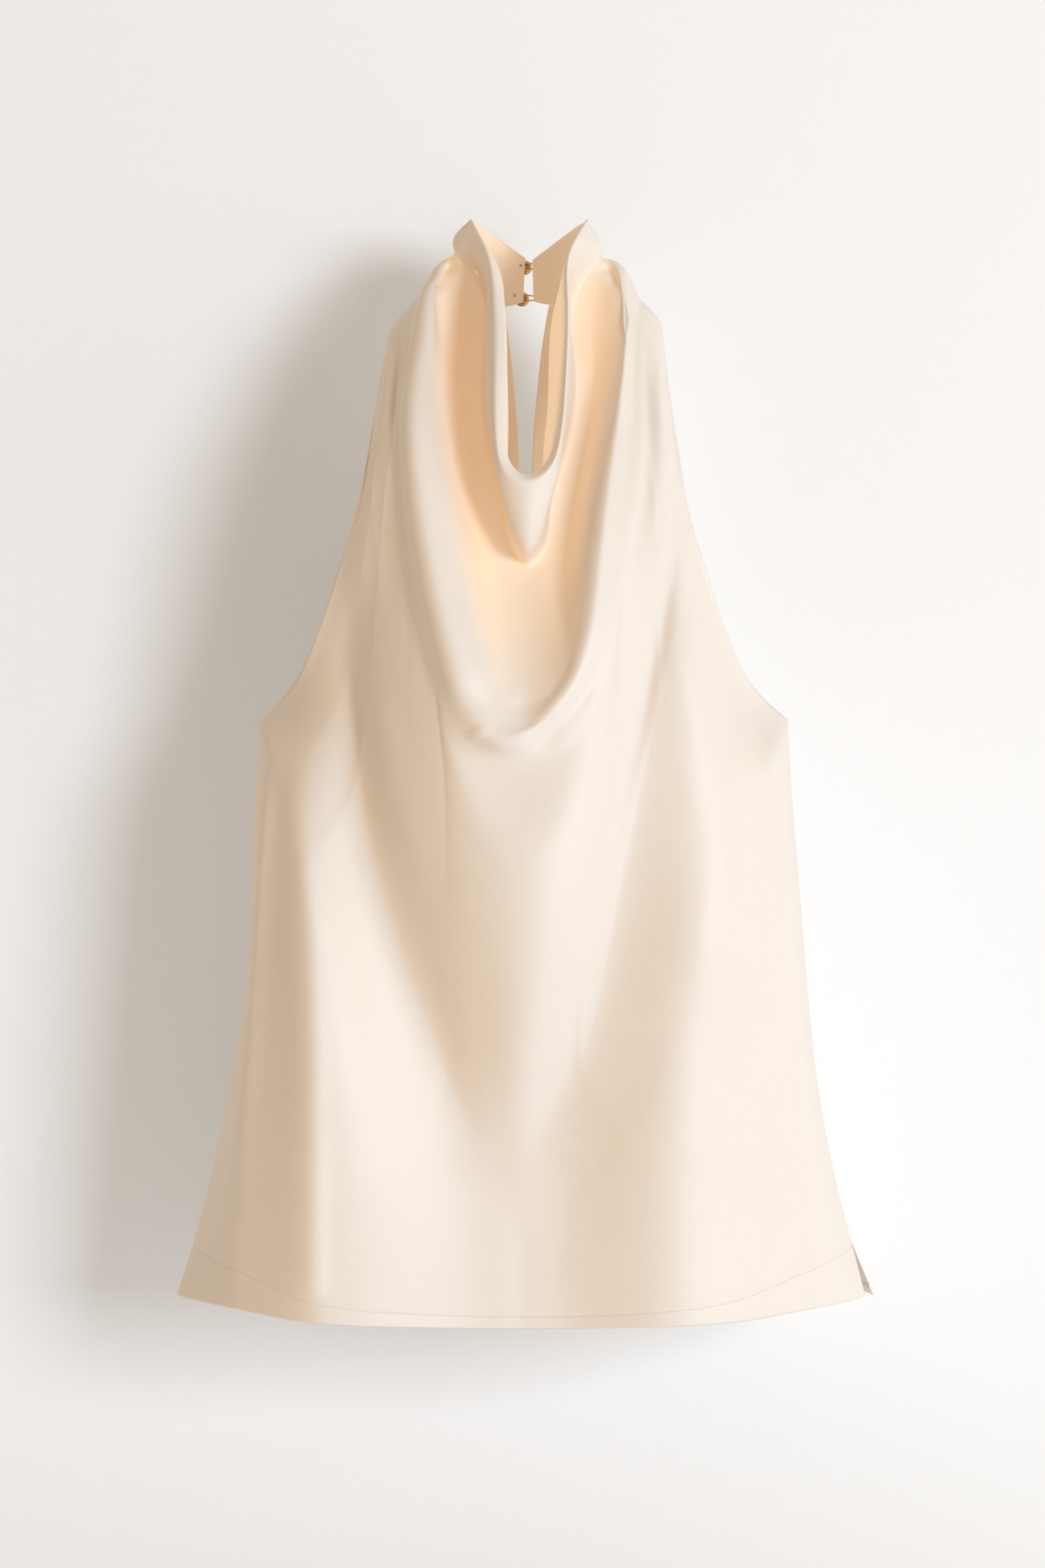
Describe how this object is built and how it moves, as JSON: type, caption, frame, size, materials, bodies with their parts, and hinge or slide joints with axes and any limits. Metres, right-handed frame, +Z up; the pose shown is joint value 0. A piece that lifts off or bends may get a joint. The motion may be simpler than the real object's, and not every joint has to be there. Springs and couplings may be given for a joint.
{
  "type": "halter neck top",
  "caption": "Sleeveless halter top in cream satin with a deep draped cowl front, a narrow neckband closed at the back by ball buttons and loops, and a back neck opening.",
  "frame": {"origin": "centre of the neck opening, at the height where the neckband rests on the wearer's neck", "axes": "+Z up along the body, the front of the top faces -Y, +X is to the right of someone looking at the front"},
  "size_m": [0.4188, 0.2344, 0.6571],
  "materials": {
    "satin": "satin, soft sheen",
    "button": "polished",
    "loop": "matt thread"
  },
  "bodies": {
    "root": {"front": "satin", "back": "satin", "neckband_left": "satin", "neckband_right": "satin", "button_upper": "button", "button_lower": "button", "loop_upper": "loop", "loop_lower": "loop"}
  },
  "joints": []
}
